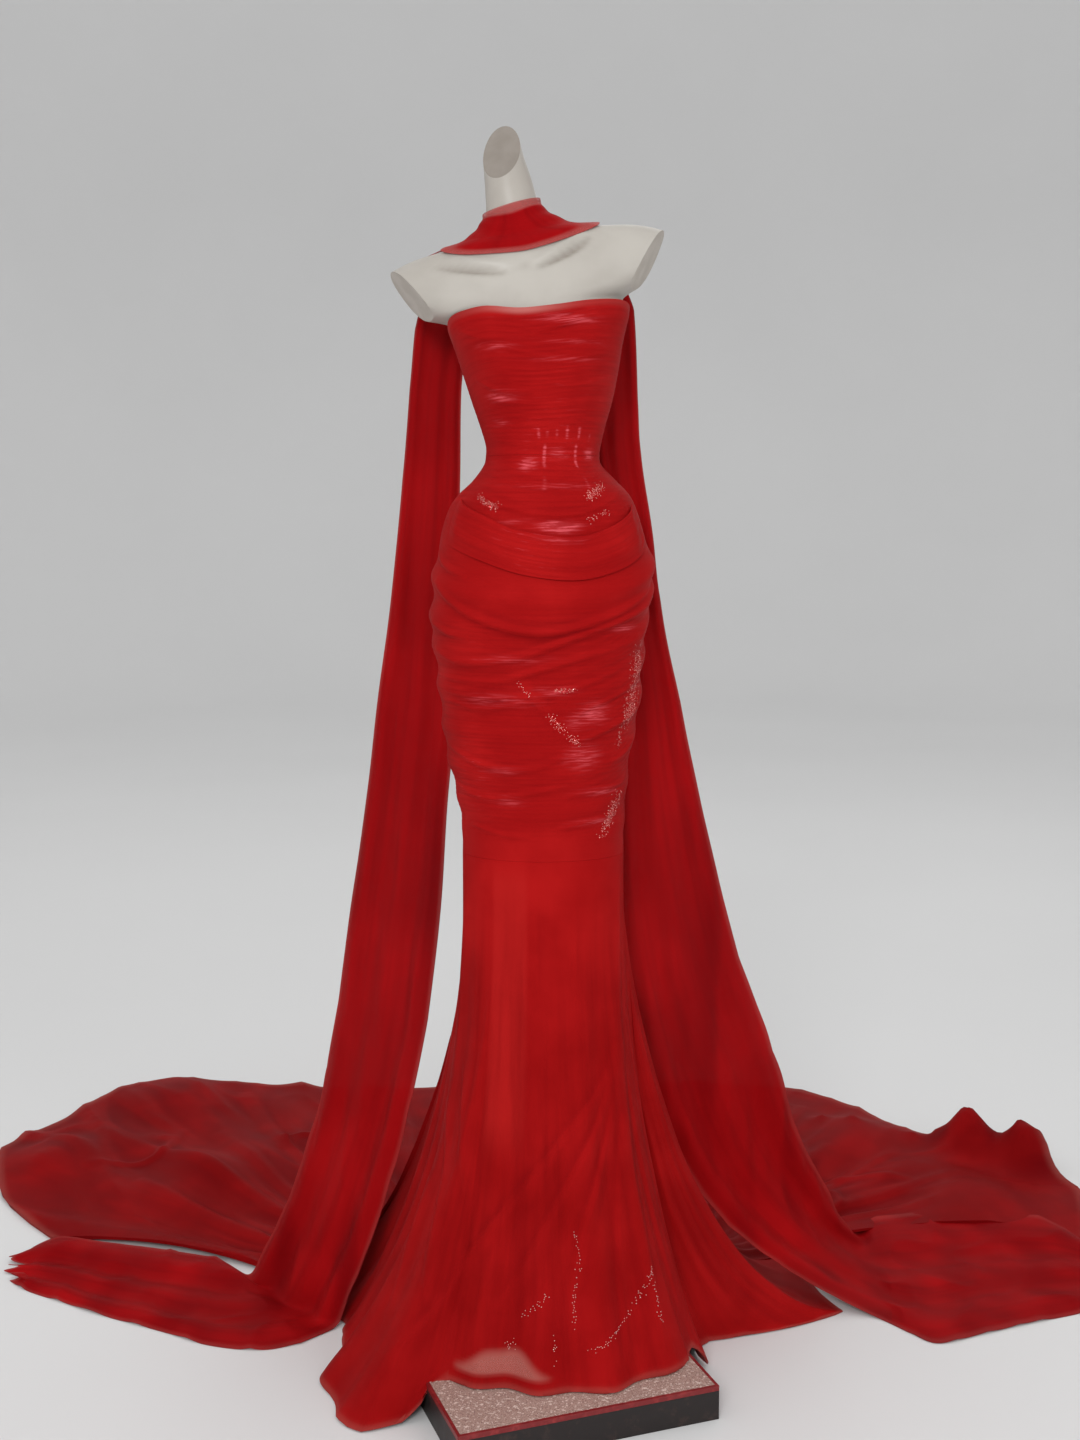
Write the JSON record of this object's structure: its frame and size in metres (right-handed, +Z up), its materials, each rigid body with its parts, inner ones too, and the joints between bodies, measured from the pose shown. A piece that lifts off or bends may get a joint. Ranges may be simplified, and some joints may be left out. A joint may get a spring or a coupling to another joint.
{
  "type": "mermaid evening dress on a limbless dress form",
  "caption": "Strapless red mermaid evening dress with gathered tulle, a flared hem, a long train and a matching scarf, on a white limbless dress form and a low plinth.",
  "frame": {"origin": "on the plinth's underside, straight below the axis of the dress form", "axes": "+Z up along the form, the dress faces -Y, +X to the viewer's right"},
  "size_m": [2.2951, 1.6789, 1.9901],
  "materials": {
    "dress_tulle": "fine gathered tulle over satin, soft sheen",
    "scarf_tulle": "sheer tulle, matte",
    "form_gloss": "smooth white gloss",
    "pole_steel": "brushed",
    "board_paint": "near-black paint, satin",
    "plate_stone": "pale speckled, satin",
    "trim_paint": "dark red, satin"
  },
  "bodies": {
    "root": {"form_torso": "form_gloss", "form_pole": "pole_steel", "form_flange": "pole_steel", "plinth_board": "board_paint", "plinth_plate": "plate_stone", "plinth_trim": "trim_paint", "bodice_front": "dress_tulle", "bodice_back_left": "dress_tulle", "bodice_back_right": "dress_tulle", "skirt_front": "dress_tulle", "skirt_back_left": "dress_tulle", "skirt_back_right": "dress_tulle", "skirt_cowl": "dress_tulle", "flare_front": "dress_tulle", "flare_left": "dress_tulle", "flare_right": "dress_tulle", "train_left": "dress_tulle", "train_right": "dress_tulle", "scarf_neck": "scarf_tulle", "scarf_left_fall": "scarf_tulle", "scarf_right_fall": "scarf_tulle", "scarf_left_tail": "scarf_tulle", "scarf_right_tail": "scarf_tulle"}
  },
  "joints": []
}
